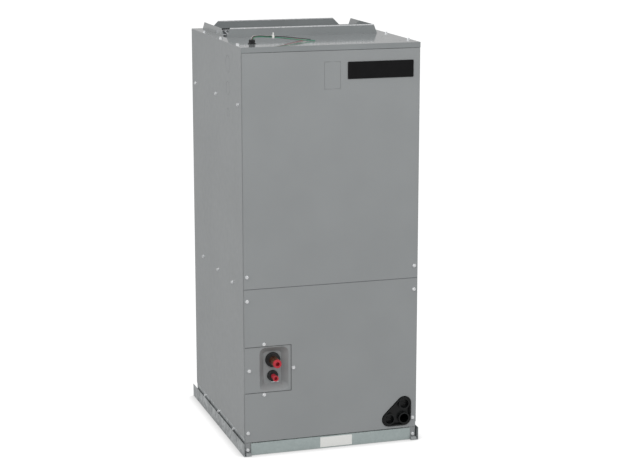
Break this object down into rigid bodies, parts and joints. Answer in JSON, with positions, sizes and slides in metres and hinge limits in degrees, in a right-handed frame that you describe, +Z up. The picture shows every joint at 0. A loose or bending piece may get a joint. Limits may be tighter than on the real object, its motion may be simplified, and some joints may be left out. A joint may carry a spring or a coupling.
{
  "type": "air handler",
  "caption": "Tall upflow air handler: painted sheet-metal cabinet with lift-off panels, slide-out filter, refrigerant coil, drain pan and a blower wheel under a duct opening.",
  "frame": {"origin": "on the floor below the middle of the base rails", "axes": "+Z up, the service panels face -Y, +X to the viewer's right"},
  "size_m": [0.4782, 0.582, 1.0776],
  "materials": {
    "painted_grey": "satin grey powder coat",
    "glossy_top": "glossy grey paint",
    "galvanised": "galvanised sheet, faint spangle",
    "zinc_screw": "bright zinc",
    "foil_liner": "foil facing",
    "aluminium_fin": "fin stock",
    "copper": "bare copper",
    "brass": "machined brass",
    "black_plastic": "moulded, fine grain",
    "badge_black": "gloss black, bare",
    "black_rubber": "ribbed rubber",
    "red_plastic": "soft red vinyl",
    "white_plastic": "nylon",
    "foam": "closed-cell foam tape",
    "cardboard": "beverage board",
    "filter_cloth": "pleated synthetic media",
    "paper": "blank label",
    "board_green": "solder mask",
    "steel_core": "laminated steel",
    "motor_black": "black enamel",
    "lead_white": "insulation",
    "lead_red": "insulation",
    "lead_black": "insulation",
    "lead_green": "insulation"
  },
  "bodies": {
    "root": {"left_rail": "galvanised", "right_rail": "galvanised", "filter_tracks": "galvanised", "rear_rail": "galvanised", "front_rail": "galvanised", "left_side": "painted_grey", "right_side": "painted_grey", "back_panel": "painted_grey", "cabinet_liners": "foil_liner", "divider_shelf": "galvanised", "blower_deck": "galvanised", "top_plate": "glossy_top", "cabinet_screws": "zinc_screw", "panel_gaskets": "foam", "refrigerant_plate": "painted_grey", "suction_grommet": "black_rubber", "liquid_grommet": "black_rubber", "suction_tube": "copper", "liquid_tube": "copper", "suction_cap": "red_plastic", "liquid_cap": "red_plastic", "drain_pan": "black_plastic", "drain_plugs": "black_plastic", "coil_left": "aluminium_fin", "coil_right": "aluminium_fin", "coil_plates": "galvanised", "coil_bends": "copper", "suction_header": "copper", "metering_valve": "brass", "distributor_tubes": "copper", "blower_sides": "galvanised", "blower_scroll": "galvanised", "motor_stator": "steel_core", "motor_shell": "motor_black", "motor_mount": "galvanised", "chamber_front": "galvanised", "heater_cover": "galvanised", "control_box": "galvanised", "control_board": "board_green", "transformer": "steel_core", "terminal_block": "black_plastic", "wire_bushing": "black_plastic", "lead_white": "lead_white", "lead_red": "lead_red", "lead_black": "lead_black", "lead_green": "lead_green", "lead_tie": "white_plastic"},
    "upper_panel": {"upper_panel": "painted_grey", "upper_panel_liner": "foil_liner", "upper_panel_screws": "zinc_screw", "badge": "badge_black"},
    "lower_panel": {"lower_panel": "painted_grey", "lower_panel_liner": "foil_liner", "lower_panel_screws": "zinc_screw"},
    "filter_door": {"filter_door": "galvanised", "door_label": "paper"},
    "filter": {"filter_frame": "cardboard", "filter_media": "filter_cloth"},
    "blower_wheel": {"blower_wheel": "galvanised", "motor_rotor": "steel_core"}
  },
  "joints": [
    {"name": "upper_panel_lift", "type": "slide", "parent": "root", "child": "upper_panel", "axis": [0, -1, 0], "range_m": [0, 0.15]},
    {"name": "lower_panel_lift", "type": "slide", "parent": "root", "child": "lower_panel", "axis": [0, -1, 0], "range_m": [0, 0.15]},
    {"name": "filter_door_pull", "type": "slide", "parent": "root", "child": "filter_door", "axis": [0, -1, 0], "range_m": [0, 0.4]},
    {"name": "filter_slide", "type": "slide", "parent": "root", "child": "filter", "axis": [0, -1, 0], "range_m": [0, 0.4]},
    {"name": "blower_spin", "type": "hinge", "parent": "root", "child": "blower_wheel", "pos_m": [0, 0.038, 0.655], "axis": [1, 0, 0], "continuous": true}
  ],
  "couplings": [
    {"joint": "filter_slide", "follows": "filter_door_pull", "ratio": 1}
  ]
}
